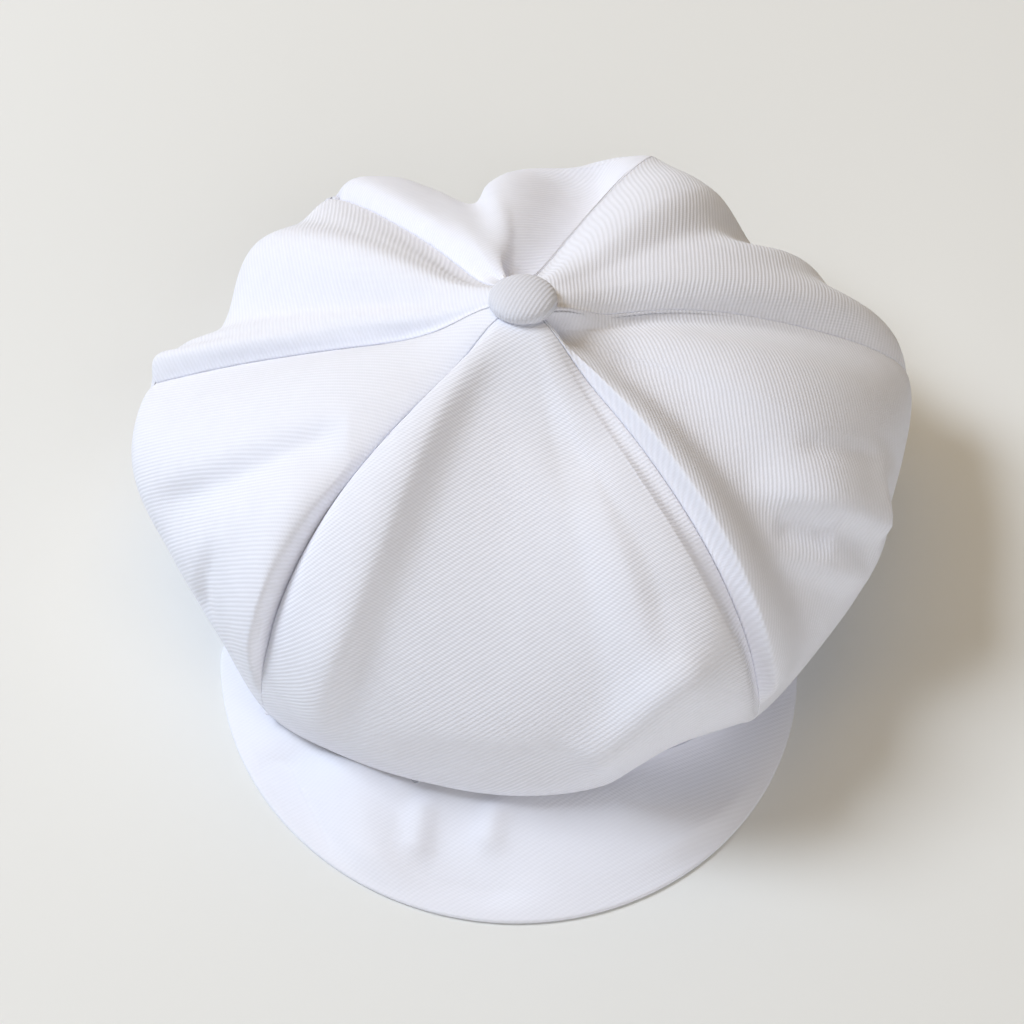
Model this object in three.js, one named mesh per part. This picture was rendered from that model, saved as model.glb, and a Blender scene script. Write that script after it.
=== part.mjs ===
import * as THREE from 'three';

// A baby's baker-boy cap in white cotton twill. Six crown panels meet under a covered button and hang over
// a plain band, and a short peak stands out at the front. Millimetres, +Z up, the front at -Y.

// Cloth and sewing
const CLOTH = 1.5;
const SEWN_GAP = 0.3;

// Crown, round the button's axis: the panels' tips end under the button
const POLE_RADIUS = 6;
const POLE_HEIGHT = 89;

// How the crown hangs, a row for each seam, lobe and hollow of its rim. The angle is in degrees from the
// front, growing to +X; reach and height place the rim, a fullness of 1 is a straight slope from the button
// and 2 a round dome, and droop is how far the cloth turns down before it runs in to the band.
const RIM = [
  { angle: -178, reach: 110, height: 38, fullness: 1.12, droop: 18 },
  { angle: -169, reach: 101, height: 29, fullness: 0.95, droop: 14 },
  { angle: -160, reach: 113, height: 35, fullness: 1.12, droop: 18 },
  { angle: -149, reach: 117, height: 33, fullness: 1.12, droop: 18 },
  { angle: -131, reach: 109, height: 35, fullness: 1.45, droop: 18 },
  { angle: -115, reach: 103, height: 32, fullness: 1.25, droop: 18 },
  { angle: -101, reach: 117, height: 31, fullness: 1.05, droop: 18 },
  { angle: -88, reach: 112, height: 31, fullness: 1.35, droop: 18 },
  { angle: -72, reach: 105, height: 31, fullness: 1.75, droop: 18 },
  { angle: -56, reach: 103, height: 28, fullness: 2.2, droop: 20 },
  { angle: -41, reach: 108, height: 25, fullness: 2.6, droop: 22 },
  { angle: -28, reach: 108, height: 25, fullness: 2.45, droop: 25 },
  { angle: -2, reach: 107, height: 25, fullness: 1.8, droop: 27 },
  { angle: 18, reach: 107, height: 25, fullness: 1.75, droop: 25 },
  { angle: 38, reach: 105, height: 24, fullness: 1.95, droop: 20 },
  { angle: 54, reach: 107, height: 28, fullness: 1.7, droop: 18 },
  { angle: 72, reach: 108, height: 32, fullness: 1.58, droop: 18 },
  { angle: 88, reach: 112, height: 33, fullness: 1.42, droop: 18 },
  { angle: 102, reach: 116, height: 34, fullness: 1.22, droop: 18 },
  { angle: 118, reach: 111, height: 41, fullness: 1.4, droop: 18 },
  { angle: 129, reach: 103, height: 36, fullness: 1.28, droop: 18 },
  { angle: 144, reach: 109, height: 37, fullness: 1.38, droop: 18 },
  { angle: 160, reach: 114, height: 39, fullness: 1.22, droop: 18 },
  { angle: 171, reach: 112, height: 38, fullness: 1.1, droop: 18 },
];

// The rim is a soft turn of the cloth, not an edge
const RIM_SOFTNESS = 0.2;
const RIM_ROUNDED = 0.3;
const RIM_WEIGHTS = [1 / 9, 2 / 9, 3 / 9, 2 / 9, 1 / 9];

// Share of the underside, next to the band, that lies level
const UNDERSIDE_LEVEL = 0.25;

// The seams in order round the crown. Each is a crease of this depth, with its width on the side of smaller
// angles (before) and on the other (after). On one side (-1 before, 1 after) the panel lies over the seam in
// a roll: how far it lies from the seam (at), how wide it is and its rise, at the button and at the rim.
const SEAMS = [
  { angle: -41, crease: 2.4, before: 5, after: 2.4, side: -1, at: [9, 9], wide: [9, 12], rise: [0, 4.5] },
  { angle: 38, crease: 2.4, before: 3, after: 2, side: 1, at: [5.5, 6.5], wide: [4.5, 5.5], rise: [3, 3] },
  { angle: 102, crease: 2, before: 2.5, after: 2, side: 1, at: [8, 14], wide: [6, 10], rise: [2.4, 2.4] },
  { angle: 160, crease: 1, before: 2.2, after: 2.2, side: -1, at: [6, 6], wide: [5, 5], rise: [1, 1] },
  { angle: 211, crease: 2.2, before: 3, after: 3, side: -1, at: [7, 9], wide: [6, 7], rise: [2.4, 2.4] },
  { angle: 259, crease: 1.8, before: 2, after: 2, side: -1, at: [5, 6.5], wide: [3.5, 4.5], rise: [2, 2] },
];
const PANEL_NAMES = ['front', 'right', 'back_right', 'back', 'back_left', 'left'];

// Soft folds inside the panels. A fold runs from its first angle and share of the way to the rim to its
// second, with a width on each side of its line, and stands up (positive) or lies in (negative).
const FOLDS = [
  { angle: [-31, -29], share: [0.16, 0.95], width: [7, 10], height: 2.2 },
  { angle: [5, 20], share: [0.14, 0.72], width: [14, 10], height: -1.6 },
  { angle: [24, 27], share: [0.98, 1.3], width: [8, 5], height: -4 },
  { angle: [56, 50], share: [0.08, 0.62], width: [6, 16], height: -3 },
  { angle: [62, 67], share: [0.54, 0.68], width: [7, 7], height: -1.8 },
  { angle: [72, 65], share: [0.7, 0.92], width: [5, 5], height: 1.8 },
  { angle: [-61, -78], share: [0.35, 1], width: [9, 5], height: -2.8 },
  { angle: [135, 129], share: [0.4, 1], width: [8, 8], height: -3 },
  { angle: [161, 170], share: [0.12, 0.7], width: [5, 8], height: -2.2 },
];
const FOLD_FADE = 0.1;

// Band: an oval mouth, longer behind than in front, whose lower edge is lifted at the front by the peak
const MOUTH = { x: -3.5, y: -46, halfWidth: 71, front: 51, back: 108 };
const BAND_HEIGHT = 16;
const BAND_WALL = 2;
const FRONT_LIFT = 10;
const LIFT_END = 100;

// Peak: its outer edge is a half ellipse, drawn a little to +X at the front
const PEAK_EDGE = { x: -3.9, y: -50, halfWidth: 82.5, front: 88.5, skew: 2 };
const PEAK_WALL = 2.5;
const PEAK_END = 106;
const PEAK_TAPER_START = 88;
const PEAK_END_DEPTH = 0.12;

// Button: a dome covered in the same cloth, leaning back
const BUTTON_RADIUS = 9.25;
const BUTTON_RIM = 1.4;
const BUTTON_DOME = 4.4;
const BUTTON_LEAN = 4;

// How finely each surface is divided
const PANEL_COLUMNS = 13;
const PANEL_TOP_ROWS = 15;
const PANEL_UNDER_ROWS = 8;
const SEAM_CROWDING = 0.08;
const BAND_SEGMENTS = 60;
const PEAK_COLUMNS = 40;
const PEAK_ROWS = 6;
const BUTTON_SEGMENTS = 28;
const BUTTON_RINGS = 6;

const TWILL = new THREE.Color(0.79, 0.8, 0.85);
const CROWN_SHADE = 1;
const BUTTON_SHADE = 0.98;
const BAND_SHADE = 0.97;
const PEAK_SHADE = 1;
const { lerp, clamp, degToRad, radToDeg, euclideanModulo, smoothstep } = THREE.MathUtils;

// The rim's row at any angle: a smooth closed curve through the rows of the table
function rimAt(angle) {
  const count = RIM.length;
  const turned = euclideanModulo(angle - RIM[0].angle, 360) + RIM[0].angle;
  const index = RIM.findLastIndex((row) => row.angle <= turned);
  const row = (step) => RIM[euclideanModulo(index + step, count)];
  const angleOf = (step) => row(step).angle + 360 * Math.floor((index + step) / count);
  const span = angleOf(1) - angleOf(0);
  const f = (turned - angleOf(0)) / span;
  const blend = (column) => {
    const startSlope = ((row(1)[column] - row(-1)[column]) / (angleOf(1) - angleOf(-1))) * span;
    const endSlope = ((row(2)[column] - row(0)[column]) / (angleOf(2) - angleOf(0))) * span;
    const startShare = (1 + 2 * f) * (1 - f) ** 2;
    const endShare = f * f * (3 - 2 * f);
    const curve = f * (1 - f) ** 2 * startSlope - f * f * (1 - f) * endSlope;
    return startShare * row(0)[column] + endShare * row(1)[column] + curve;
  };
  return {
    reach: blend('reach'),
    height: blend('height'),
    fullness: blend('fullness'),
    droop: blend('droop'),
  };
}

// A point of the mouth's oval, moved straight out by a distance; the turn is counted from the front
function mouthPoint(turn, out) {
  const angle = degToRad(turn);
  const length = Math.cos(angle) > 0 ? MOUTH.front : MOUTH.back;
  const normal = new THREE.Vector2(Math.sin(angle) / MOUTH.halfWidth, -Math.cos(angle) / length).normalize();
  const x = MOUTH.x + MOUTH.halfWidth * Math.sin(angle) + out * normal.x;
  const y = MOUTH.y - length * Math.cos(angle) + out * normal.y;
  return new THREE.Vector2(x, y);
}

// The turn round the mouth that lies inside a point of the crown's rim
function turnInside(x, y) {
  const forward = MOUTH.y - y;
  const length = forward > 0 ? MOUTH.front : MOUTH.back;
  return radToDeg(Math.atan2((x - MOUTH.x) / MOUTH.halfWidth, forward / length));
}

// Height of the band's lower edge
function bandLift(turn) {
  const fromFront = Math.abs(euclideanModulo(turn + 180, 360) - 180);
  return FRONT_LIFT * Math.cos((Math.min(fromFront / LIFT_END, 1) * Math.PI) / 2) ** 2;
}

// The crown's profile at an angle. The share is 0 at the button, 1 at the rim and 2 at the band's upper
// edge: a superellipse down to the rim, then a curve that hangs below it and runs in to the band.
function profilePoint(angle, share) {
  const rim = rimAt(angle);
  const radians = degToRad(angle);
  const outwards = new THREE.Vector2(Math.sin(radians), -Math.cos(radians));
  if (share <= 1) {
    const phi = (clamp(share, 0, 1) ** (rim.fullness / 2) * Math.PI) / 2;
    const radius = lerp(POLE_RADIUS, rim.reach, Math.sin(phi) ** (2 / rim.fullness));
    const height = lerp(rim.height, POLE_HEIGHT, Math.max(Math.cos(phi), 0) ** (2 / rim.fullness));
    return new THREE.Vector3(outwards.x * radius, outwards.y * radius, height);
  }
  const edge = outwards.clone().multiplyScalar(rim.reach);
  const turn = turnInside(edge.x, edge.y);
  const end = mouthPoint(turn, BAND_WALL / 2 + SEWN_GAP);
  const endHeight = bandLift(turn) + BAND_HEIGHT - CLOTH;
  const near = end.clone().lerp(edge, UNDERSIDE_LEVEL);
  const curve = new THREE.CubicBezierCurve3(
    new THREE.Vector3(edge.x, edge.y, rim.height),
    new THREE.Vector3(edge.x, edge.y, rim.height - rim.droop),
    new THREE.Vector3(near.x, near.y, endHeight),
    new THREE.Vector3(end.x, end.y, endHeight),
  );
  return curve.getPoint(share - 1);
}

// The crown without its folds: where the slope is straight the rim's point is rounded off, by a weighted
// mean of the profile above and below
function crownBase(angle, share) {
  const flatness = clamp(2 - rimAt(angle).fullness, 0, 1);
  const spread = RIM_SOFTNESS * flatness * Math.exp(-(((share - 1) / RIM_ROUNDED) ** 2));
  const point = new THREE.Vector3();
  RIM_WEIGHTS.forEach((weight, index) => {
    const shifted = share + (index - (RIM_WEIGHTS.length - 1) / 2) * spread;
    point.addScaledVector(profilePoint(angle, shifted), weight);
  });
  return point;
}

// Outward direction of the crown without its folds
function crownNormal(angle, share) {
  const ANGLE_STEP = 0.4;
  const SHARE_STEP = 0.012;
  const around = crownBase(angle + ANGLE_STEP, share).sub(crownBase(angle - ANGLE_STEP, share));
  const below = crownBase(angle, Math.min(share + SHARE_STEP, 2));
  const down = below.sub(crownBase(angle, Math.max(share - SHARE_STEP, 0)));
  return down.cross(around).normalize();
}

// Height of the soft folds at a point of the crown
function foldHeight(angle, share, radius) {
  return FOLDS.reduce((sum, fold) => {
    const along = clamp((share - fold.share[0]) / (fold.share[1] - fold.share[0]), 0, 1);
    const line = lerp(fold.angle[0], fold.angle[1], along);
    const across = degToRad(euclideanModulo(angle - line + 180, 360) - 180) * radius;
    const width = across < 0 ? fold.width[0] : fold.width[1];
    const start = smoothstep(share, fold.share[0] - FOLD_FADE, fold.share[0] + FOLD_FADE);
    const end = 1 - smoothstep(share, fold.share[1] - FOLD_FADE, fold.share[1] + FOLD_FADE);
    return sum + fold.height * start * end * Math.exp(-((across / width) ** 2));
  }, 0);
}

// Height beside a seam: its crease, and the roll of the panel that lies over it
function seamHeight(seam, side, distance, share) {
  const ROLL_START = 3;
  const crease = -seam.crease * Math.exp(-distance / (side > 0 ? seam.after : seam.before));
  if (seam.side !== side) return crease;
  const down = clamp(share, 0, 1);
  const off = (distance - lerp(...seam.at, down)) / lerp(...seam.wide, down);
  const rise = 1 - Math.exp(-((distance / ROLL_START) ** 2));
  return crease + lerp(...seam.rise, down) * Math.exp(-off * off) * rise;
}

// Closed wall between an outer and an inner grid of points, rows along each column
function wallGeometry(outer, inner) {
  const columns = outer.length;
  const rows = outer[0].length;
  const points = [...outer.flat(), ...inner.flat()];
  const at = (layer, column, row) => layer * columns * rows + column * rows + row;
  const index = [];
  const quad = (a, b, c, d) => index.push(a, b, c, a, c, d);
  for (let column = 0; column + 1 < columns; column += 1) {
    for (let row = 0; row + 1 < rows; row += 1) {
      quad(at(0, column, row), at(0, column, row + 1), at(0, column + 1, row + 1), at(0, column + 1, row));
      quad(at(1, column, row), at(1, column + 1, row), at(1, column + 1, row + 1), at(1, column, row + 1));
    }
  }
  for (let row = 0; row + 1 < rows; row += 1) {
    const last = columns - 1;
    quad(at(0, 0, row), at(1, 0, row), at(1, 0, row + 1), at(0, 0, row + 1));
    quad(at(0, last, row), at(0, last, row + 1), at(1, last, row + 1), at(1, last, row));
  }
  for (let column = 0; column + 1 < columns; column += 1) {
    const last = rows - 1;
    quad(at(0, column, 0), at(0, column + 1, 0), at(1, column + 1, 0), at(1, column, 0));
    quad(at(0, column, last), at(1, column, last), at(1, column + 1, last), at(0, column + 1, last));
  }
  const geometry = new THREE.BufferGeometry().setFromPoints(points);
  geometry.setIndex(index);
  geometry.computeVertexNormals();
  return geometry;
}

// One crown panel, between a seam and the next. Its two sewn edges stay in their seams' upright planes.
function panelGeometry(seam, nextSeam) {
  const CREASE_GROWS = [0.02, 0.22];
  const CREASE_FADES = [1, 1.4];
  const nextAngle = nextSeam.angle > seam.angle ? nextSeam.angle : nextSeam.angle + 360;
  const outer = [];
  const inner = [];
  for (let column = 0; column <= PANEL_COLUMNS; column += 1) {
    const even = column / PANEL_COLUMNS;
    const across = even - SEAM_CROWDING * Math.sin(2 * Math.PI * even);
    const angle = lerp(seam.angle, nextAngle, across);
    const edgeSide = column === 0 ? 1 : column === PANEL_COLUMNS ? -1 : 0;
    const sideways = new THREE.Vector3(Math.cos(degToRad(angle)), Math.sin(degToRad(angle)), 0);
    const outerColumn = [];
    const innerColumn = [];
    for (let row = 0; row <= PANEL_TOP_ROWS + PANEL_UNDER_ROWS; row += 1) {
      const top = Math.min(row / PANEL_TOP_ROWS, 1);
      const share = top + Math.max(row - PANEL_TOP_ROWS, 0) / PANEL_UNDER_ROWS;
      const base = crownBase(angle, share);
      const normal = crownNormal(angle, share);
      if (edgeSide !== 0) normal.projectOnPlane(sideways).normalize();
      const radius = Math.hypot(base.x, base.y);
      const fromSeam = degToRad(angle - seam.angle) * radius;
      const toSeam = degToRad(nextAngle - angle) * radius;
      const grown = smoothstep(share, ...CREASE_GROWS) * (1 - smoothstep(share, ...CREASE_FADES));
      const sewn = seamHeight(seam, 1, fromSeam, share) + seamHeight(nextSeam, -1, toSeam, share);
      const height = grown * sewn + foldHeight(angle, share, radius);
      base.addScaledVector(sideways, (edgeSide * SEWN_GAP) / 2);
      outerColumn.push(base.clone().addScaledVector(normal, height));
      innerColumn.push(base.clone().addScaledVector(normal, height - CLOTH));
    }
    outer.push(outerColumn);
    inner.push(innerColumn);
  }
  return wallGeometry(outer, inner);
}

// The band: a strip on edge round the mouth, flat below where it stands
function bandGeometry() {
  const corners = [];
  for (let segment = 0; segment < BAND_SEGMENTS; segment += 1) {
    const turn = (360 * segment) / BAND_SEGMENTS;
    const outside = mouthPoint(turn, BAND_WALL / 2);
    const inside = mouthPoint(turn, -BAND_WALL / 2);
    const low = bandLift(turn);
    const high = low + BAND_HEIGHT;
    corners.push(new THREE.Vector3(outside.x, outside.y, low));
    corners.push(new THREE.Vector3(outside.x, outside.y, high));
    corners.push(new THREE.Vector3(inside.x, inside.y, high));
    corners.push(new THREE.Vector3(inside.x, inside.y, low));
  }
  const index = [];
  for (let segment = 0; segment < BAND_SEGMENTS; segment += 1) {
    const here = 4 * segment;
    const next = 4 * ((segment + 1) % BAND_SEGMENTS);
    for (let side = 0; side < 4; side += 1) {
      const after = (side + 1) % 4;
      index.push(here + side, next + side, next + after, here + side, next + after, here + after);
    }
  }
  const geometry = new THREE.BufferGeometry().setFromPoints(corners);
  geometry.setIndex(index);
  geometry.computeVertexNormals();
  return geometry;
}

// The peak: a thin wall from the band's lower edge down to its outer edge on the surface
function peakGeometry() {
  const upper = [];
  const lower = [];
  for (let column = 0; column <= PEAK_COLUMNS; column += 1) {
    const turn = lerp(-PEAK_END, PEAK_END, column / PEAK_COLUMNS);
    const radians = degToRad(turn);
    const root = mouthPoint(turn, BAND_WALL / 2 + SEWN_GAP);
    const edge = new THREE.Vector2(
      PEAK_EDGE.x + PEAK_EDGE.halfWidth * Math.sin(radians) + PEAK_EDGE.skew * Math.cos(radians),
      PEAK_EDGE.y - PEAK_EDGE.front * Math.cos(radians),
    );
    const depth = lerp(1, PEAK_END_DEPTH, smoothstep(Math.abs(turn), PEAK_TAPER_START, PEAK_END));
    const upperColumn = [];
    const lowerColumn = [];
    for (let row = 0; row <= PEAK_ROWS; row += 1) {
      const out = (row / PEAK_ROWS) * depth;
      const point = root.clone().lerp(edge, out);
      const low = bandLift(turn) * (1 - out);
      upperColumn.push(new THREE.Vector3(point.x, point.y, low + PEAK_WALL));
      lowerColumn.push(new THREE.Vector3(point.x, point.y, low));
    }
    upper.push(upperColumn);
    lower.push(lowerColumn);
  }
  return wallGeometry(upper, lower);
}

// The button: a flat underside, a short upright rim and a dome, turned round its own axis
function buttonGeometry() {
  const profile = [new THREE.Vector2(0, 0), new THREE.Vector2(BUTTON_RADIUS, 0)];
  for (let ring = 0; ring < BUTTON_RINGS; ring += 1) {
    const phi = (Math.PI / 2) * (ring / BUTTON_RINGS);
    profile.push(new THREE.Vector2(BUTTON_RADIUS * Math.cos(phi), BUTTON_RIM + BUTTON_DOME * Math.sin(phi)));
  }
  profile.push(new THREE.Vector2(0, BUTTON_RIM + BUTTON_DOME));
  return new THREE.LatheGeometry(profile, BUTTON_SEGMENTS).rotateX(Math.PI / 2);
}

function clothMesh(name, geometry, shade) {
  const color = TWILL.clone().multiplyScalar(shade);
  const material = new THREE.MeshStandardMaterial({ color, roughness: 0.92, metalness: 0 });
  const mesh = new THREE.Mesh(geometry, material);
  mesh.name = name;
  return mesh;
}

const cap = new THREE.Group();
SEAMS.forEach((seam, index) => {
  const nextSeam = SEAMS[(index + 1) % SEAMS.length];
  cap.add(clothMesh(`panel_${PANEL_NAMES[index]}`, panelGeometry(seam, nextSeam), CROWN_SHADE));
});
const button = clothMesh('button', buttonGeometry(), BUTTON_SHADE);
button.position.z = POLE_HEIGHT + SEWN_GAP + POLE_RADIUS * Math.sin(degToRad(BUTTON_LEAN));
button.rotation.x = -degToRad(BUTTON_LEAN);
cap.add(button);
cap.add(clothMesh('band', bandGeometry(), BAND_SHADE));
cap.add(clothMesh('peak', peakGeometry(), PEAK_SHADE));

// Stand the cap on its lowest points, centred over the origin
const box = new THREE.Box3().setFromObject(cap);
const centre = box.getCenter(new THREE.Vector3());
cap.position.set(-centre.x, -centre.y, -box.min.z);

export default cap;
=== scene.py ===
import math

import bmesh
import bpy
import numpy as np
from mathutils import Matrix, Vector


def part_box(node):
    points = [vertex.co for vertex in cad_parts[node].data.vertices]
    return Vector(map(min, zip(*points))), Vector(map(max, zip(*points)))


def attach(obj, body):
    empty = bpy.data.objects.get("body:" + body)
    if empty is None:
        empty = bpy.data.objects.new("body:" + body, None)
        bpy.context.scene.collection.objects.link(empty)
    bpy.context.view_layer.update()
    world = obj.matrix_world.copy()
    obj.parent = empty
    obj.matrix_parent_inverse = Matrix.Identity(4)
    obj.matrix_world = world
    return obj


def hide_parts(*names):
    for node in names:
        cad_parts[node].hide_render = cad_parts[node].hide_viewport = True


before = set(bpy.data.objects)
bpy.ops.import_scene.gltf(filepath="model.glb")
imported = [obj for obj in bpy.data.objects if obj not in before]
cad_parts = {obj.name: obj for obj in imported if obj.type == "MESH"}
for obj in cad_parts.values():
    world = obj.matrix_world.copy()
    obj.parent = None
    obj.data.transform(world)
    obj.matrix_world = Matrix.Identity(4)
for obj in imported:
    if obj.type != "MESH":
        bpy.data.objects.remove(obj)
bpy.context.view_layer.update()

# Crown: six petals of white cotton twill, cut with their ribs slanting, sewn together from the button to the
# rim and gathered in to the band. The seam allowances are turned inside, and along most seams one petal
# lies over the seam in a soft roll. Sizes are in millimetres round the button's axis, the front at -Y.
MM = 0.001
CLOTH_WALL = 0.9
SEWN_GAP = 0.3
POLE_RADIUS = 6
POLE_HEIGHT = 91.5
POLE_TILT = 0.14
SAG = 9
SAG_SPREAD = 16
# The rim, a row for each turn of its waves. The angle is in degrees from the front, growing to +X. A fullness
# of 1 is a straight slope from the button to the rim, 2 an ellipse. The droop hangs below the rim.
RIM = np.array(
    [
        (-178, 106, 34, 1.1, 18),
        (-171, 96.5, 28.5, 1.3, 15),
        (-164.5, 104.5, 32, 1.2, 16),
        (-159, 112.5, 34, 1.1, 18),
        (-149, 116.5, 33, 1.12, 18),
        (-141, 108.5, 34, 1.3, 18),
        (-131, 108.5, 35, 1.45, 18),
        (-116, 100, 32, 1.25, 18),
        (-108, 110.5, 33, 1.15, 18),
        (-101, 113, 31, 1.1, 18),
        (-88, 112, 31, 1.35, 18),
        (-72, 104.5, 31, 1.75, 18),
        (-56, 102, 28, 2.2, 22),
        (-43, 104, 20, 2.4, 25),
        (-28, 104.7, 20.5, 1.9, 19.5),
        (-15, 105, 21.5, 1.65, 21.5),
        (-2, 105.5, 23, 1.55, 25),
        (12, 106, 25.5, 1.6, 26),
        (17, 106, 30.5, 1.68, 22),
        (21.5, 106.5, 36, 1.78, 20),
        (27, 107, 38, 1.85, 20),
        (34, 107, 33, 1.88, 19),
        (38, 104, 25, 1.85, 22),
        (54, 103, 27, 1.8, 18),
        (70, 105, 30, 1.85, 18),
        (77, 104.5, 32, 1.9, 18),
        (88, 108.5, 33, 1.75, 18),
        (102, 115.5, 34, 1.35, 18),
        (110, 114.5, 32.5, 1.6, 18),
        (117, 106.5, 31, 1.8, 18),
        (124, 106, 31.5, 1.8, 18),
        (133, 98.5, 30.5, 1.85, 18),
        (144, 103.5, 34.5, 2, 18),
        (160, 114, 39, 1.22, 18),
        (171, 109.5, 36, 1.1, 18),
    ],
    dtype=[(column, float) for column in ("angle", "reach", "height", "fullness", "droop")],
)
RIM_SOFTNESS = 0.14
RIM_ROUNDED = 0.3
RIM_WEIGHTS = (1 / 9, 2 / 9, 3 / 9, 2 / 9, 1 / 9)
UNDERSIDE_LEVEL = 0.25
MOUTH_X = -3.5
MOUTH_Y = -46
MOUTH_HALF_WIDTH = 71
MOUTH_FRONT = 51
MOUTH_BACK = 108
BAND_HEIGHT = 16
BAND_WALL = 2
FRONT_LIFT = 10
LIFT_END = 100
PANEL_END_BELOW_BAND_TOP = 1.5
# The seams in order round the crown. A swing is in degrees at the button, with the share of the way to the
# rim over which it dies away. Depths and widths run in even steps from the button to the rim, and side is
# where a petal rolls over the seam: before it (-1), after it (1) or nowhere (0).
SEAMS = (
    dict(angle=-43.2, swings=((-13, 0.2),), gap=0.15, crease=(3, 4, 5.4, 1.2), before=(10, 8, 1.6, 1.4),
         after=(3.5, 4.5, 5, 3), side=-1, grows=(0.35, 0.6), at=(3, 3, 1.4, 1.2), near=(2, 1.1),
         far=(12, 13), rise=(0, 2.4)),
    dict(angle=37.5, swings=((7, 0.3),), gap=0.15, crease=(1.4, 2, 1.2), before=(2.4, 4, 6), after=(1.5, 1.5),
         side=1, grows=(0, 0.6), at=(1.6, 3.2, 1.2), near=(1.3, 1.7), far=(9, 13), rise=(2.8, 4.6)),
    dict(angle=102.8, swings=((10, 0.25), (-35, 0.05)), gap=0.1, crease=(0.6, 1.2), before=(3.5, 2.4),
         after=(3.5, 2.4), side=1, grows=(0, 0.5), at=(6, 14), near=(4, 8), far=(8, 12), rise=(1, 1)),
    dict(angle=159, swings=((18, 0.12),), gap=0.05, crease=(-1.4, -1.4), before=(5, 5), after=(8, 8), side=0),
    dict(angle=211.3, swings=((-11, 0.35),), gap=0.15, crease=(3.2, 3.2), before=(3, 3), after=(6, 7),
         side=-1, grows=(0, 0.4), at=(5, 7), near=(4, 5), far=(6, 8), rise=(1.6, 1.6)),
    dict(angle=257.5, swings=((12, 0.07),), gap=0.3, crease=(2, 2), before=(2.4, 2.4), after=(2.4, 2.4),
         side=-1, grows=(0, 0.4), at=(4.5, 7), near=(3, 4), far=(4, 5), rise=(1.6, 2.2)),
)
ROLL_START = 1.2
ROLL_SHARPNESS = 2
CREASE_GROWS = (0, 0.14)
CREASE_FADES = (0.88, 1.06)
PANELS = ("front", "right", "back_right", "back", "back_left", "left")
RIB_SLANT = dict(front=-36, right=-32, back_right=44, back=-40, back_left=-45, left=-55)
# The folds inside the petals. A path runs through (angle, share) places, from share 0 at the button to 1 at
# the rim. A fold has a width on each side of its path, and a fade in and out as shares of the path.
FOLDS = (
    dict(panel="front", path=((-48, 0), (-34, 0.3), (-30.5, 0.6), (-32.5, 1.1)), width=(6, 10), height=3.8,
         fade=(0.14, 0.25)),
    dict(panel="front", path=((-28, 0.55), (-32, 1.1)), width=(3.5, 9), height=0.8),
    dict(panel="front", path=((12, 0.05), (23, 0.3), (25.5, 0.5), (22, 0.85)), width=(16, 8), height=-4.2),
    dict(panel="front", path=((8, 1.0), (17, 0.84), (32, 0.82)), width=(7, 7), height=2.4),
    dict(panel="front", path=((-22, 0.98), (-4, 0.93), (12, 1.0)), width=(6, 8), height=-1.4),
    dict(panel="right", path=((72, 0), (60, 0.3), (53, 0.6), (52, 1.1)), width=(16, 9), height=-5.4,
         fade=(0.01, 0.25)),
    dict(panel="right", path=((76, 0), (73, 0.13)), width=(5, 5), height=-2.2, fade=(0.01, 0.7)),
    dict(panel="right", path=((56, 0.47), (63.5, 0.64), (71, 0.9)), width=(11, 3.5), height=4.4,
         fade=(0.6, 0.1)),
    dict(panel="right", path=((56, 0.58), (63, 0.74)), width=(3, 5), height=-1.6),
    dict(panel="right", path=((51, 0.58), (58, 0.79), (67, 1.05)), width=(7, 4), height=2.8,
         fade=(0.5, 0.3)),
    dict(panel="right", path=((69, 0.5), (75, 0.65), (80, 0.82)), width=(3, 3), height=-0.9),
    dict(panel="right", path=((64, 0.88), (72, 0.88), (84, 0.8)), width=(7, 9), height=2.2),
    dict(panel="left", path=((-55, 0.36), (-66, 0.57), (-79, 1.0)), width=(11, 5), height=-3.8),
    dict(panel="left", path=((-59, 0.75), (-60.5, 1.3)), width=(6, 3), height=-1.8),
    dict(panel="back_left", path=((-107, 0.1), (-108, 0.45), (-109, 1.15)), width=(3.5, 3), height=-1.5),
    dict(panel="back_right", path=((130, 0.5), (127, 1.1)), width=(8, 5), height=-2),
    dict(panel="back", path=((163, 0), (165, 0.3), (168, 0.65), (169, 0.9)), width=(14, 8), height=-9,
         fade=(0.01, 0.55)),
    dict(panel="back", path=((183, 0.1), (185, 0.5), (184, 1.15)), width=(5, 15), height=3.4,
         fade=(0.3, 0.4)),
)
FOLD_CLEAR = 3
FOLDS_END = (1, 1.2)
FOLD_FADE = (0.25, 0.25)
FOLD_STEPS = 200
EDGE_ROUND = 0.4
EDGE_COLUMNS = 5
ALLOWANCE = 5
ALLOWANCE_STEPS = (1, 0.6, 0.25)
ALLOWANCE_TRIMMED = 0.2
UNEVEN_SIZE = 26
UNEVEN_HEIGHT = 0.35
UNEVEN_GROWS = (0, 0.3)
UNEVEN_SEED = 7
INNER_COLUMNS = 90
SEAM_CROWDING = 0.1
TOP_ROWS = 150
UNDER_ROWS = 60
TWILL_TINT = (0.84, 0.855, 0.935)
RIB_PITCH = 1.15
RIB_RELIEF = 0.08
BEAD_PITCH = 0.7
BEAD_SLANT = 62
THREAD_WOBBLE = 0.5
# Painted shade darkens the twill's rib grooves, and a painted highlight lightens their crests, as shares of
# the tint.
PAINTED_GROOVE_SHADE = 0.08
PAINTED_CREST_HIGHLIGHT = 0.045

band_low, band_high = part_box("band")
BUTTON_AXIS = np.array(
    [
        (band_low.x + band_high.x) / 2 / MM - MOUTH_X,
        band_low.y / MM - MOUTH_Y + MOUTH_FRONT + BAND_WALL / 2,
        0.0,
    ]
)


def lerp(start, end, share):
    """Straight mix from start to end."""
    return start + (end - start) * share


def curve(values, share):
    """The polynomial through values at even steps from share 0 to 1."""
    knots = np.linspace(0, 1, len(values))
    return np.polyval(np.polyfit(knots, values, len(values) - 1), share)


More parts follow.
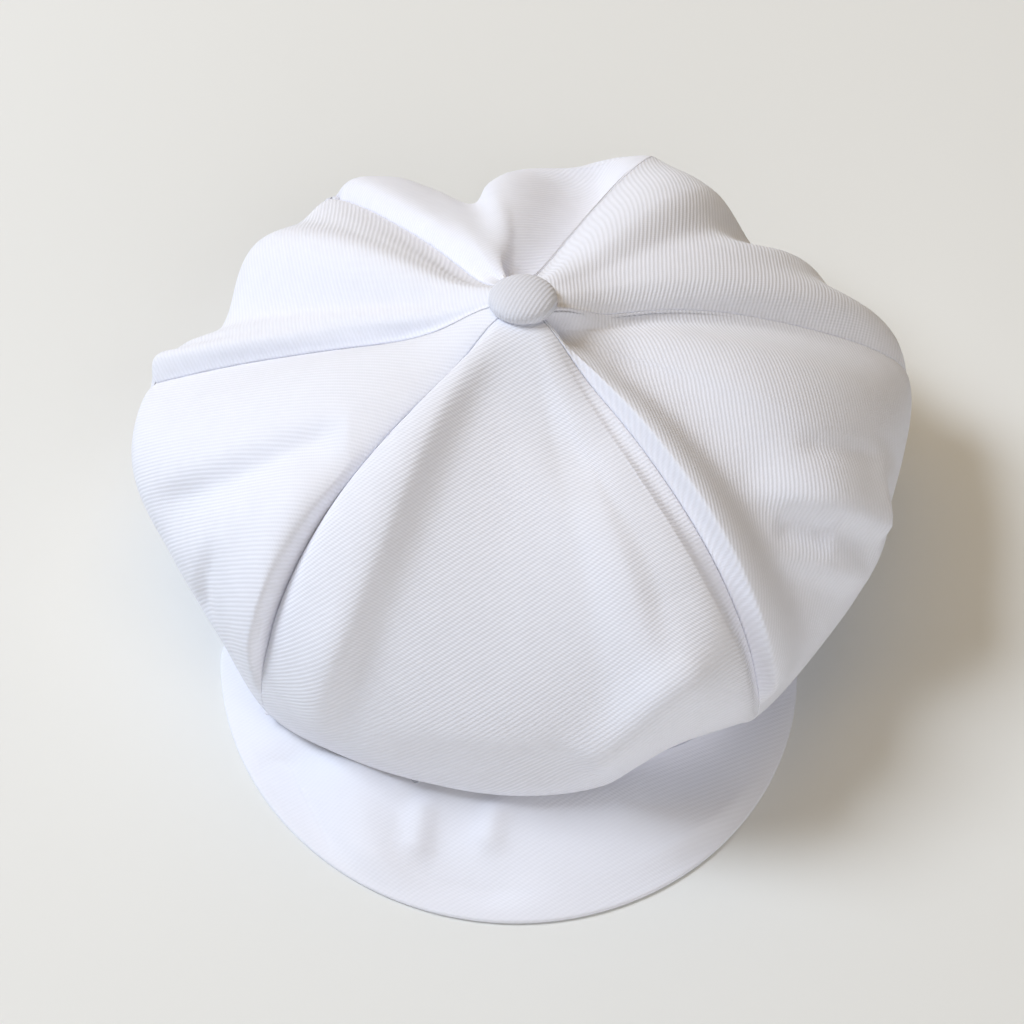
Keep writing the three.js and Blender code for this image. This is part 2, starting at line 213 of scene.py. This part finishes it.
def ease(x, start, end):
    """Smoothstep: 0 up to start, 1 from end on, a cubic ease between."""
    f = np.clip((x - start) / (end - start), 0, 1)
    return f * f * (3 - 2 * f)


def turned(angle):
    """The same angle between -180 and 180 degrees."""
    return (np.asarray(angle, float) + 180) % 360 - 180


def unit(vectors):
    """Vectors brought to length 1."""
    return vectors / np.maximum(np.linalg.norm(vectors, axis=-1, keepdims=True), 1e-9)


def rim_at(angle, column):
    """A column of the rim's table at any angle: a closed cubic curve through its rows, whose slope at a
    row is that of the line between the rows on either side."""
    knots = np.concatenate([RIM["angle"][-2:] - 360, RIM["angle"], RIM["angle"][:2] + 360])
    values = np.concatenate([RIM[column][-2:], RIM[column], RIM[column][:2]])
    slopes = np.gradient(values, knots)
    slopes[1:-1] = (values[2:] - values[:-2]) / (knots[2:] - knots[:-2])
    angle = (np.asarray(angle, float) - RIM["angle"][0]) % 360 + RIM["angle"][0]
    row = np.searchsorted(knots, angle, side="right") - 1
    span = knots[row + 1] - knots[row]
    f = (angle - knots[row]) / span
    start = (1 + 2 * f) * (1 - f) ** 2 * values[row] + f * (1 - f) ** 2 * span * slopes[row]
    end = f * f * (3 - 2 * f) * values[row + 1] - f * f * (1 - f) * span * slopes[row + 1]
    return start + end


def mouth_point(turn, out):
    """A point of the mouth's oval, two half ellipses, moved straight out by a distance."""
    turn = np.radians(turn)
    length = np.where(np.cos(turn) > 0, MOUTH_FRONT, MOUTH_BACK)
    normal = unit(np.stack([np.sin(turn) / MOUTH_HALF_WIDTH, -np.cos(turn) / length], -1))
    x = MOUTH_X + MOUTH_HALF_WIDTH * np.sin(turn) + out * normal[..., 0]
    y = MOUTH_Y - length * np.cos(turn) + out * normal[..., 1]
    return x, y


def band_lift(turn):
    """Height of the band's lower edge: a squared cosine, full at the front and none behind."""
    return FRONT_LIFT * np.cos(np.minimum(np.abs(turned(turn)) / LIFT_END, 1) * np.pi / 2) ** 2


def crown_profile(angle, share):
    """The crown at an angle: a superellipse from the button (share 0) to the rim (1), sagging round the
    button and less and less towards the rim, then a cubic curve that hangs below the rim and runs in to
    the band (2)."""
    reach, height, fullness, droop = (rim_at(angle, name) for name in RIM.dtype.names[1:])
    sine, cosine = np.sin(np.radians(angle)), np.cos(np.radians(angle))
    phi = np.clip(share, 0, 1) ** (fullness / 2) * np.pi / 2
    radius = lerp(POLE_RADIUS, reach, np.sin(phi) ** (2 / fullness))
    pole = POLE_HEIGHT + POLE_RADIUS * POLE_TILT * cosine
    top = lerp(height, pole, np.maximum(np.cos(phi), 0) ** (2 / fullness))
    near_button = np.exp(-(((radius - POLE_RADIUS) / SAG_SPREAD) ** 2))
    top = top - SAG * (1 - near_button) * (1 - np.clip(share, 0, 1)) ** 2
    forward = MOUTH_Y + reach * cosine
    length = np.where(forward > 0, MOUTH_FRONT, MOUTH_BACK)
    turn = np.degrees(np.arctan2((reach * sine - MOUTH_X) / MOUTH_HALF_WIDTH, forward / length))
    end_x, end_y = mouth_point(turn, BAND_WALL / 2 + SEWN_GAP)
    end_z = band_lift(turn) + BAND_HEIGHT - PANEL_END_BELOW_BAND_TOP
    s = np.clip(share - 1, 0, 1)
    rim_share = (1 - s) ** 3 + 3 * s * (1 - s) ** 2 + 3 * s * s * (1 - s) * UNDERSIDE_LEVEL
    hang = 3 * s * (1 - s) ** 2
    end_z_share = 3 * s * s * (1 - s) + s**3
    under = np.stack(
        [
            lerp(end_x, reach * sine, rim_share),
            lerp(end_y, -reach * cosine, rim_share),
            lerp(height, end_z, end_z_share) - droop * hang,
        ],
        -1,
    )
    over = np.stack([radius * sine, -radius * cosine, top], -1)
    return np.where(np.asarray(share)[..., None] > 1, under, over)


def crown_base(angle, share):
    """The crown without folds: its profile, with the rim's point rounded off by a weighted mean of the
    places above and below it."""
    angle, share = np.broadcast_arrays(np.asarray(angle, float), np.asarray(share, float))
    flatness = np.clip(2 - rim_at(angle, "fullness"), 0, 1)
    spread = RIM_SOFTNESS * flatness * np.exp(-(((share - 1) / RIM_ROUNDED) ** 2))
    middle = (len(RIM_WEIGHTS) - 1) / 2
    places = (crown_profile(angle, share + (k - middle) * spread) for k in range(len(RIM_WEIGHTS)))
    return sum(weight * place for weight, place in zip(RIM_WEIGHTS, places))


def crown_normal(angle, share):
    """Outward direction of the crown without folds: the cross product of its run down and its run round."""
    ANGLE_STEP = 0.4
    SHARE_STEP = 0.012
    around = crown_base(angle + ANGLE_STEP, share) - crown_base(angle - ANGLE_STEP, share)
    below = crown_base(angle, np.minimum(share + SHARE_STEP, 2))
    above = crown_base(angle, np.maximum(share - SHARE_STEP, 0))
    return unit(np.cross(below - above, around))


def seam_angle(seam, share):
    """A seam's angle: its own, with swings at the button that die away down the crown."""
    down = np.clip(share, 0, 1)
    return seam["angle"] + sum(swing * np.exp(-down / fade) for swing, fade in seam["swings"])


def seam_height(seam, side, distance, share):
    """Height beside a seam: a crease that dies away over its width, and on the rolled side a bell with its
    own width towards the seam, where it starts from nothing, and away from it."""
    down = np.clip(share, 0, 1)
    width = curve(seam["after" if side > 0 else "before"], down)
    height = -curve(seam["crease"], down) * np.exp(-distance / width)
    if seam["side"] != side:
        return height
    off = distance - curve(seam["at"], down)
    near = (np.minimum(off, 0) / curve(seam["near"], down)) ** 2
    far = (np.maximum(off, 0) / curve(seam["far"], down)) ** ROLL_SHARPNESS
    bell = np.exp(-near - far) * (1 - np.exp(-((distance / ROLL_START) ** 2)))
    return height + lerp(*seam["rise"], ease(share, *seam["grows"])) * bell


def fold_height(fold, points, normals):
    """Height of a fold over a grid of points: a bell across its line, with a width on each side, tapered at
    the line's ends. The line is the smooth curve on the crown through the path's (angle, share) places."""
    path = np.array(fold["path"], float)
    steps = np.linspace(0, 1, FOLD_STEPS)
    angle, share = (curve(column, steps) for column in path.T)
    line = crown_base(angle, share)
    run = unit(np.gradient(line, axis=0))
    gap = points[:, :, None] - line
    nearest = np.argmin((gap**2).sum(-1), axis=-1)
    offset = np.take_along_axis(gap, nearest[..., None, None], axis=2)[:, :, 0]
    ahead = (offset * run[nearest]).sum(-1)
    length = np.linalg.norm(np.diff(line, axis=0), axis=-1).sum()
    along = np.clip(steps[nearest] + ahead / length, 0, 1)
    ahead = np.where((along > 0) & (along < 1), ahead, 0)
    offset = offset - run[nearest] * ahead[..., None]
    across = np.linalg.norm(offset, axis=-1)
    right = (offset * np.cross(run[nearest], normals)).sum(-1) > 0
    bell = np.exp(-((across / np.where(right, fold["width"][1], fold["width"][0])) ** 2))
    fade_in, fade_out = fold.get("fade", FOLD_FADE)
    return fold["height"] * ease(along, 0, fade_in) * (1 - ease(along, 1 - fade_out, 1)) * bell


def unevenness(points, size, seed):
    """Soft unevenness from -1 to 1: random heights on a lattice of that size, eased between its corners."""
    CELLS = 32
    lattice = np.random.default_rng(seed).uniform(-1, 1, (CELLS, CELLS, CELLS))
    cell = points / size + CELLS / 2
    low = np.floor(cell).astype(int)
    f = cell - low
    f = f * f * (3 - 2 * f)
    total = np.zeros(points.shape[:-1])
    for corner in np.ndindex(2, 2, 2):
        weight = np.prod(np.where(np.array(corner) == 1, f, 1 - f), axis=-1)
        i, j, k = np.moveaxis((low + np.array(corner)) % CELLS, -1, 0)
        total += weight * lattice[i, j, k]
    return total


def petal(index):
    """A petal's grid of points and its flat cloth coordinates. From side to side its columns are the seam
    allowance turned straight in, a quarter-round edge, the cloth between the seams, and the same again.
    The allowances are trimmed towards the rim, and no fold goes on below it."""
    name = PANELS[index]
    seam = SEAMS[index]
    next_seam = SEAMS[(index + 1) % len(SEAMS)]
    turn = 0 if next_seam["angle"] > seam["angle"] else 360
    corner = np.linspace(0, np.pi / 2, EDGE_COLUMNS)
    flap = ALLOWANCE * np.array(ALLOWANCE_STEPS)
    inset = np.concatenate([0 * flap, EDGE_ROUND * (1 - np.cos(corner))])
    drop = np.concatenate([EDGE_ROUND + flap, EDGE_ROUND * (1 - np.sin(corner))])
    even = np.linspace(0, 1, INNER_COLUMNS + 2)[1:-1]
    even = (even - SEAM_CROWDING * np.sin(2 * np.pi * even))[:, None]
    share = np.concatenate([np.linspace(0, 1, TOP_ROWS + 1), 1 + np.linspace(0, 1, UNDER_ROWS + 1)[1:]])
    start = seam_angle(seam, share)
    end = seam_angle(next_seam, share) + turn
    start_radius = np.linalg.norm(crown_base(start, share)[:, :2], axis=-1)
    end_radius = np.linalg.norm(crown_base(end, share)[:, :2], axis=-1)
    before = start + np.degrees(inset[:, None] / start_radius)
    after = end - np.degrees(inset[::-1, None] / end_radius)
    angle = np.concatenate([before, lerp(before[-1], after[0], even), after])
    drop = np.concatenate([drop, 0 * even[:, 0], drop[::-1]])[:, None]
    drop = drop * lerp(1, ALLOWANCE_TRIMMED, ease(share, *CREASE_FADES))
    share = np.broadcast_to(share, angle.shape)
    base = crown_base(angle, share)
    normal = crown_normal(angle, share)
    radius = np.linalg.norm(base[..., :2], axis=-1)
    from_seam = np.radians(angle - start) * radius
    to_seam = np.radians(end - angle) * radius
    sideways = np.stack([np.cos(np.radians(angle)), np.sin(np.radians(angle)), 0 * angle], -1)
    pinned = np.exp(-((np.minimum(from_seam, to_seam) / (2 * EDGE_ROUND)) ** 2))[..., None]
    normal = unit(normal - sideways * (normal * sideways).sum(-1, keepdims=True) * pinned)
    grown = ease(share, *CREASE_GROWS) * (1 - ease(share, *CREASE_FADES))
    height = grown * (seam_height(seam, 1, from_seam, share) + seam_height(next_seam, -1, to_seam, share))
    clear = ease(np.minimum(from_seam, to_seam), 0, FOLD_CLEAR) * (1 - ease(share, *FOLDS_END))
    for fold in FOLDS:
        if fold["panel"] == name:
            height = height + clear * fold_height(fold, base, normal)
    uneven = unevenness(base, UNEVEN_SIZE, UNEVEN_SEED) * ease(share, *UNEVEN_GROWS)
    height = height + UNEVEN_HEIGHT * uneven
    gap = seam["gap"] / 2 * np.exp(-from_seam) - next_seam["gap"] / 2 * np.exp(-to_seam)
    points = base + normal * (height - drop)[..., None] + sideways * gap[..., None]
    steps = np.linalg.norm(np.diff(base, axis=1), axis=-1)
    length = POLE_RADIUS + np.concatenate([np.zeros((len(angle), 1)), np.cumsum(steps, axis=1)], axis=1)
    spread = np.radians(angle - (start + end) / 2) * radius / length
    beyond = drop * np.sign(np.linspace(-1, 1, len(angle)))[:, None]
    across = length * np.sin(spread) + beyond * np.cos(spread)
    along = length * np.cos(spread) - beyond * np.sin(spread)
    return points, across, along


def cloth_map(across, along, slant):
    """The cloth's own coordinates, turned so that U runs across its ribs and V along them."""
    sine, cosine = math.sin(math.radians(slant)), math.cos(math.radians(slant))
    return np.stack([across * -sine + along * cosine, across * cosine + along * sine], -1)


def cloth_object(name, points, cloth, material):
    """A mesh object from a grid of points in millimetres, with its cloth coordinates as UV map. Cloth with
    one more column or row than the points closes the mesh that way, and points in one place become one."""
    corner = np.arange(points[..., 0].size).reshape(points.shape[:2])
    closing = [(0, wide - narrow) for wide, narrow in zip(cloth.shape[:2], points.shape[:2])]
    corner = np.pad(corner, closing, "wrap")
    place = np.arange(cloth[..., 0].size).reshape(cloth.shape[:2])
    faces, places = (
        np.stack([grid[:-1, :-1], grid[:-1, 1:], grid[1:, 1:], grid[1:, :-1]], -1).reshape(-1, 4)
        for grid in (corner, place)
    )
    SAME_PLACE = 1e-4
    mesh = bpy.data.meshes.new(name)
    mesh.from_pydata(((points + BUTTON_AXIS) * MM).reshape(-1, 3), [], faces)
    mesh.polygons.foreach_set("use_smooth", np.ones(len(faces), bool))
    layer = mesh.uv_layers.new(name="cloth")
    layer.data.foreach_set("uv", (cloth.reshape(-1, 2)[places.reshape(-1)] * MM).reshape(-1))
    mesh.materials.append(material)
    shape = bmesh.new()
    shape.from_mesh(mesh)
    bmesh.ops.remove_doubles(shape, verts=shape.verts, dist=SAME_PLACE * MM)
    shape.to_mesh(mesh)
    shape.free()
    mesh.validate()
    piece = bpy.data.objects.new(name, mesh)
    bpy.context.scene.collection.objects.link(piece)
    return piece


def twill(name, tint, contrast):
    """Cotton twill: rounded ribs across U, broken into beads where the threads cross, with painted shade in
    their grooves and a painted highlight on their crests, and soft slubs and a low nap. Contrast, up to 1, is
    how strongly the ribs show, both in relief and in painted shade and highlight."""
    material = bpy.data.materials.new(name)
    material.use_nodes = True
    tree = material.node_tree
    shader = tree.nodes["Principled BSDF"]
    shader.inputs["Roughness"].default_value = 0.92
    shader.inputs["Specular IOR Level"].default_value = 0.25
    shader.inputs["Sheen Weight"].default_value = 0.12
    shader.inputs["Sheen Roughness"].default_value = 0.5

    def add(kind, **settings):
        node = tree.nodes.new(kind)
        for key, value in settings.items():
            setattr(node, key, value)
        return node

    def wave(turn, pitch):
        PITCH_AT_SCALE_1 = 2 * math.pi / 20
        place = add("ShaderNodeMapping")
        place.inputs["Rotation"].default_value = (0, 0, math.radians(turn))
        place.inputs["Scale"].default_value = (1 / MM, 1 / MM, 1 / MM)
        ribs = add("ShaderNodeTexWave", wave_type="BANDS", bands_direction="X", wave_profile="SIN")
        ribs.inputs["Scale"].default_value = PITCH_AT_SCALE_1 / pitch
        ribs.inputs["Distortion"].default_value = THREAD_WOBBLE
        ribs.inputs["Detail"].default_value = 1
        ribs.inputs["Detail Scale"].default_value = 0.8
        tree.links.new(cloth.outputs["UV"], place.inputs["Vector"])
        tree.links.new(place.outputs["Vector"], ribs.inputs["Vector"])
        return ribs.outputs["Fac"]

    cloth = add("ShaderNodeUVMap", uv_map="cloth")
    ribs = wave(0, RIB_PITCH)
    beads = wave(BEAD_SLANT, BEAD_PITCH)
    broken = add("ShaderNodeMath", operation="MULTIPLY_ADD")
    broken.inputs[1].default_value = 0.3
    tree.links.new(beads, broken.inputs[0])
    tree.links.new(ribs, broken.inputs[2])
    slub = add("ShaderNodeTexNoise")
    slub.inputs["Scale"].default_value = 160
    slub.inputs["Detail"].default_value = 2
    tree.links.new(cloth.outputs["UV"], slub.inputs["Vector"])
    # Painted rib shade and highlight: grooves darker, crests paler, shifted at random by the slubs.
    shade = add("ShaderNodeMix", data_type="RGBA")
    shade.inputs["A"].default_value = (*((1 - PAINTED_GROOVE_SHADE * contrast) * c for c in tint), 1)
    shade.inputs["B"].default_value = (*((1 + PAINTED_CREST_HIGHLIGHT * contrast) * c for c in tint), 1)
    depth = add("ShaderNodeMath", operation="MULTIPLY_ADD")
    depth.inputs[1].default_value = 0.35
    tree.links.new(slub.outputs["Fac"], depth.inputs[0])
    thread = add("ShaderNodeMath", operation="MULTIPLY")
    thread.inputs[1].default_value = 0.5
    tree.links.new(broken.outputs["Value"], thread.inputs[0])
    tree.links.new(thread.outputs["Value"], depth.inputs[2])
    tree.links.new(depth.outputs["Value"], shade.inputs["Factor"])
    tree.links.new(shade.outputs["Result"], shader.inputs["Base Color"])
    relief = add("ShaderNodeBump")
    relief.inputs["Strength"].default_value = contrast
    relief.inputs["Distance"].default_value = RIB_RELIEF * MM
    tree.links.new(broken.outputs["Value"], relief.inputs["Height"])
    tree.links.new(relief.outputs["Normal"], shader.inputs["Normal"])
    return material


def thicken(piece, wall):
    """Gives a sheet its thickness, inwards."""
    solid = piece.modifiers.new("cloth", "SOLIDIFY")
    solid.thickness = wall * MM
    solid.offset = -1


crown_twill = twill("crown_twill", TWILL_TINT, contrast=0.9)
for number, panel in enumerate(PANELS):
    points, across, along = petal(number)
    slant = RIB_SLANT[panel]
    piece = cloth_object(f"crown_{panel}", points, cloth_map(across, along, slant), crown_twill)
    thicken(piece, CLOTH_WALL)
    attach(piece, "root")
    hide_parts(f"panel_{panel}")

# Button: a small domed mould covered in the same twill, drawn tight over its edge, sewn on over the petals'
# tips. It leans back with the crown.
BUTTON_RADIUS = 9.25
BUTTON_SIDE = 1.3
BUTTON_DOME = 4
BUTTON_DRAWN_IN = 0.15
BUTTON_LEAN = 8
BUTTON_BACK = 1
BUTTON_RIB_SLANT = 28
# Painted shade: the button's twill is the crown's twill drawn darker.
BUTTON_PAINTED_SHADE = 0.86
BUTTON_COLUMNS = 128
DOME_ROWS = 36
SIDE_ROWS = 10
UNDER_BUTTON_ROWS = 6


def button_surface():
    """A dome over a rounded side and a flat underside, turned round its axis: the profile is a flat quarter
    ellipse, a half round and a straight run in to the middle."""
    turn = np.linspace(0, 2 * np.pi, BUTTON_COLUMNS + 1)[:, None]
    phi = np.linspace(0, np.pi / 2, DOME_ROWS)
    bend = np.linspace(0, np.pi / 2, SIDE_ROWS)[1:]
    inward = np.linspace(1, 0, UNDER_BUTTON_ROWS)[1:]
    foot = BUTTON_RADIUS - BUTTON_SIDE * BUTTON_DRAWN_IN
    side = foot + (BUTTON_RADIUS - foot) * np.cos(bend)
    radius = np.concatenate([BUTTON_RADIUS * np.sin(phi), side, foot * inward])
    dome = BUTTON_SIDE + BUTTON_DOME * np.cos(phi)
    height = np.concatenate([dome, BUTTON_SIDE * (1 - np.sin(bend)), 0 * inward])
    x = radius * np.cos(turn)
    y = radius * np.sin(turn)
    z = height + 0 * turn
    lean = -math.radians(BUTTON_LEAN)
    seat = POLE_HEIGHT + SEWN_GAP - BUTTON_BACK * POLE_TILT
    back = y * math.cos(lean) - z * math.sin(lean) + BUTTON_BACK
    leaned = np.stack([x, back, seat + y * math.sin(lean) + z * math.cos(lean)], -1)
    length = np.cumsum(np.hypot(np.diff(radius, prepend=0), np.diff(height, prepend=height[0])))
    return leaned[:-1], length * np.sin(turn), length * np.cos(turn)


button_twill = twill("button_twill", tuple(BUTTON_PAINTED_SHADE * c for c in TWILL_TINT), contrast=1)
points, across, along = button_surface()
button = cloth_object("button_cover", points, cloth_map(across, along, BUTTON_RIB_SLANT), button_twill)
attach(button, "root")
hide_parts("button")

# Band: a strip of the same twill folded double and sewn into a ring, standing on edge round the mouth. The
# crown is gathered to its upper edge, and its lower edge is lifted at the front by the peak.
BAND_RIB_SLANT = -30
# Painted shade: the band's twill is the crown's twill drawn a little darker.
BAND_PAINTED_SHADE = 0.97
BAND_SIDE_POWER = 0.5
BAND_EDGE_POWER = 0.3
BAND_COLUMNS = 480
BAND_ROWS = 48


def band_surface():
    """A rounded strip carried round the mouth: its section is a superellipse, high and thin."""
    turn = np.linspace(0, 360, BAND_COLUMNS + 1)[:, None]
    section = np.linspace(0, 2 * np.pi, BAND_ROWS + 1)
    out = BAND_WALL / 2 * np.sign(np.cos(section)) * np.abs(np.cos(section)) ** BAND_SIDE_POWER
    up = BAND_HEIGHT / 2 * (1 - np.sign(np.sin(section)) * np.abs(np.sin(section)) ** BAND_EDGE_POWER)
    x, y = mouth_point(turn, out)
    z = band_lift(turn) + up
    middle = np.stack(mouth_point(turn[:, 0], 0), -1)
    length = np.cumsum(np.linalg.norm(np.diff(middle, axis=0, prepend=middle[:1]), axis=-1))[:, None]
    height = np.cumsum(np.hypot(np.diff(out, prepend=out[0]), np.diff(up, prepend=up[0])))
    points = np.stack([x, y, z + 0 * x], -1)
    return points[:-1, :-1], length + 0 * height, height + 0 * length


band_twill = twill("band_twill", tuple(BAND_PAINTED_SHADE * c for c in TWILL_TINT), contrast=0.5)
points, across, along = band_surface()
band = cloth_object("band_strip", points, cloth_map(across, along, BAND_RIB_SLANT), band_twill)
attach(band, "root")
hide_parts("band")

# Peak: two layers of the twill sewn round their outer edge, turned right side out and sewn to the band. It
# slopes down to the table, where its edge rests, and has a few soft dents and two gathers at its root.
PEAK_X = -3.9
PEAK_Y = -50
PEAK_HALF_WIDTH = 81.2
PEAK_FRONT = 86.5
PEAK_SKEW = 2
PEAK_WALL = 2.5
PEAK_EDGE_WALL = 1.2
PEAK_END = 106
PEAK_TAPER_START = 88
PEAK_END_DEPTH = 0.12
PEAK_CLOSING = 4
PEAK_DENTS = (
    dict(start=(-60, -80), end=(-34, -98), width=6, height=1),
    dict(start=(-27, -107), end=(-28, -115), width=4, height=1.8),
    dict(start=(-8, -109), end=(-9, -114), width=4, height=1.8),
    dict(start=(-64, -90), end=(-54, -118), width=7, height=-2.8),
    dict(start=(-47, -96), end=(-39, -126), width=9, height=2.6),
    dict(start=(-20, -116), end=(-10, -128), width=12, height=-2.2),
    dict(start=(30, -104), end=(54, -112), width=14, height=2.6),
)
DENTS_EASE = 0.25
DENTS_END = 70
PEAK_RIB_SLANT = -30
PEAK_COLUMNS = 260
PEAK_TOP_ROWS = 70
PEAK_EDGE_ROWS = 12
PEAK_UNDER_ROWS = 24


def dent_height(dent, x, y):
    """Height of a dent over the table's plan: a bell round a straight line that fades at both ends."""
    start, end = np.array(dent["start"], float), np.array(dent["end"], float)
    run = end - start
    length = np.linalg.norm(run)
    along = ((x - start[0]) * run[0] + (y - start[1]) * run[1]) / length
    across = ((x - start[0]) * run[1] - (y - start[1]) * run[0]) / length
    past = np.maximum(np.maximum(-along, along - length), 0)
    return dent["height"] * np.exp(-((across / dent["width"]) ** 2) - (past / dent["width"]) ** 2)


def peak_surface():
    """From the band's lower edge straight out to a half ellipse on the table, round the edge in a half round
    and back underneath. No dent goes below the table. The wall thins towards the edge with the square of
    the way out, and closes to nothing at both ends."""
    turn = np.linspace(-PEAK_END, PEAK_END, PEAK_COLUMNS)[:, None]
    root = np.stack(mouth_point(turn, BAND_WALL / 2 + SEWN_GAP), -1)
    radians = np.radians(turn)
    edge_x = PEAK_X + PEAK_HALF_WIDTH * np.sin(radians) + PEAK_SKEW * np.cos(radians)
    edge_y = PEAK_Y - PEAK_FRONT * np.cos(radians)
    edge = np.stack([edge_x, edge_y], -1)
    depth = lerp(1, PEAK_END_DEPTH, ease(np.abs(turn), PEAK_TAPER_START, PEAK_END))
    length = depth * np.linalg.norm(edge - root, axis=-1)
    closed = 1 - ease(np.abs(turn), PEAK_END - PEAK_CLOSING, PEAK_END)
    half = np.minimum(PEAK_EDGE_WALL / 2 * closed, length / 3)
    bend = np.linspace(np.pi / 2, -np.pi / 2, PEAK_EDGE_ROWS + 2)[1:-1]
    over = np.linspace(0, 1, PEAK_TOP_ROWS)
    under = np.linspace(1, 0, PEAK_UNDER_ROWS)
    straight = length - half
    out = np.concatenate([straight * over, straight + half * np.cos(bend), straight * under], 1)
    face = np.concatenate([1 + 0 * over, np.sin(bend), -1 + 0 * under])
    reach = out / length
    plan = root + (edge - root) * depth[..., None] * reach[..., None]
    x, y = plan[..., 0], plan[..., 1]
    slope = band_lift(turn) * (1 - reach * depth)
    dents = sum(dent_height(dent, x, y) for dent in PEAK_DENTS)
    held = ease(1 - reach, 0, DENTS_EASE) * (1 - ease(np.abs(turn), DENTS_END, PEAK_TAPER_START))
    wall = lerp(PEAK_WALL * closed, 2 * half, reach**2)
    z = np.maximum(slope + dents * held, 0) + wall / 2 * (1 + face)
    return np.stack([x, y, z], -1)


peak_twill = twill("peak_twill", TWILL_TINT, contrast=0.3)
points = peak_surface()
ring = np.concatenate([points, points[:, :1]], 1)
peak = cloth_object("peak_cloth", points, cloth_map(ring[..., 0], -ring[..., 1], PEAK_RIB_SLANT), peak_twill)
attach(peak, "root")
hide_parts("peak")

# Table: a plain pale surface for the cap to lie on.
TABLE_SIDE = 6.0
table_mesh = bpy.data.meshes.new("table")
half = TABLE_SIDE / 2
corners = [(-half, -half, 0), (half, -half, 0), (half, half, 0), (-half, half, 0)]
table_mesh.from_pydata(corners, [], [(0, 1, 2, 3)])
table = bpy.data.objects.new("table", table_mesh)
bpy.context.scene.collection.objects.link(table)
table_paint = bpy.data.materials.new("table_paint")
table_paint.use_nodes = True
table_shader = table_paint.node_tree.nodes["Principled BSDF"]
table_shader.inputs["Base Color"].default_value = (0.785, 0.795, 0.785, 1)
table_shader.inputs["Roughness"].default_value = 0.7
table_mesh.materials.append(table_paint)

# Light: a cool window on the left, a broad neutral fill from the front and a warm glow from behind.
CAP_MIDDLE = Vector((0, 0, 0.05))


def soft_light(name, place, size, power, colour):
    """A square area light that looks at the cap."""
    lamp = bpy.data.lights.new(name, "AREA")
    lamp.energy = power
    lamp.size = size
    lamp.color = colour
    light = bpy.data.objects.new(name, lamp)
    light.location = place
    light.rotation_euler = (CAP_MIDDLE - Vector(place)).to_track_quat("-Z", "Y").to_euler()
    bpy.context.scene.collection.objects.link(light)


soft_light("window", place=(-1.7, 0.62, 1.87), size=1.0, power=60, colour=(0.82, 0.895, 1.0))
soft_light("front_fill", place=(0.81, -2.21, 1.1), size=3.2, power=47.5, colour=(1.0, 0.97, 0.94))
soft_light("back_glow", place=(-0.26, 1.47, 2.13), size=3.2, power=29, colour=(1.0, 0.74, 0.4))
world = bpy.data.worlds.new("room")
world.use_nodes = True
world.node_tree.nodes["Background"].inputs["Color"].default_value = (1.0, 0.9, 0.74, 1)
world.node_tree.nodes["Background"].inputs["Strength"].default_value = 0.01
bpy.context.scene.world = world
bpy.context.scene.view_settings.view_transform = "Standard"

# Camera: looks down at the front of the cap at the photograph's angle. Its place is in millimetres from the
# foot of the button's axis.
CAMERA_PLACE = np.array([-2.9, -503.0, 654.2])
CAMERA_DOWN = 52.4
PICTURE_SIDE = 1024
FOCAL_PIXELS = 2812.5
SENSOR = 36
lens = bpy.data.cameras.new("camera")
lens.sensor_width = SENSOR
lens.lens = SENSOR * FOCAL_PIXELS / PICTURE_SIDE
camera = bpy.data.objects.new("camera", lens)
camera.location = (CAMERA_PLACE + BUTTON_AXIS) * MM
camera.rotation_euler = (math.radians(90 - CAMERA_DOWN), 0, 0)
bpy.context.scene.collection.objects.link(camera)
bpy.context.scene.camera = camera
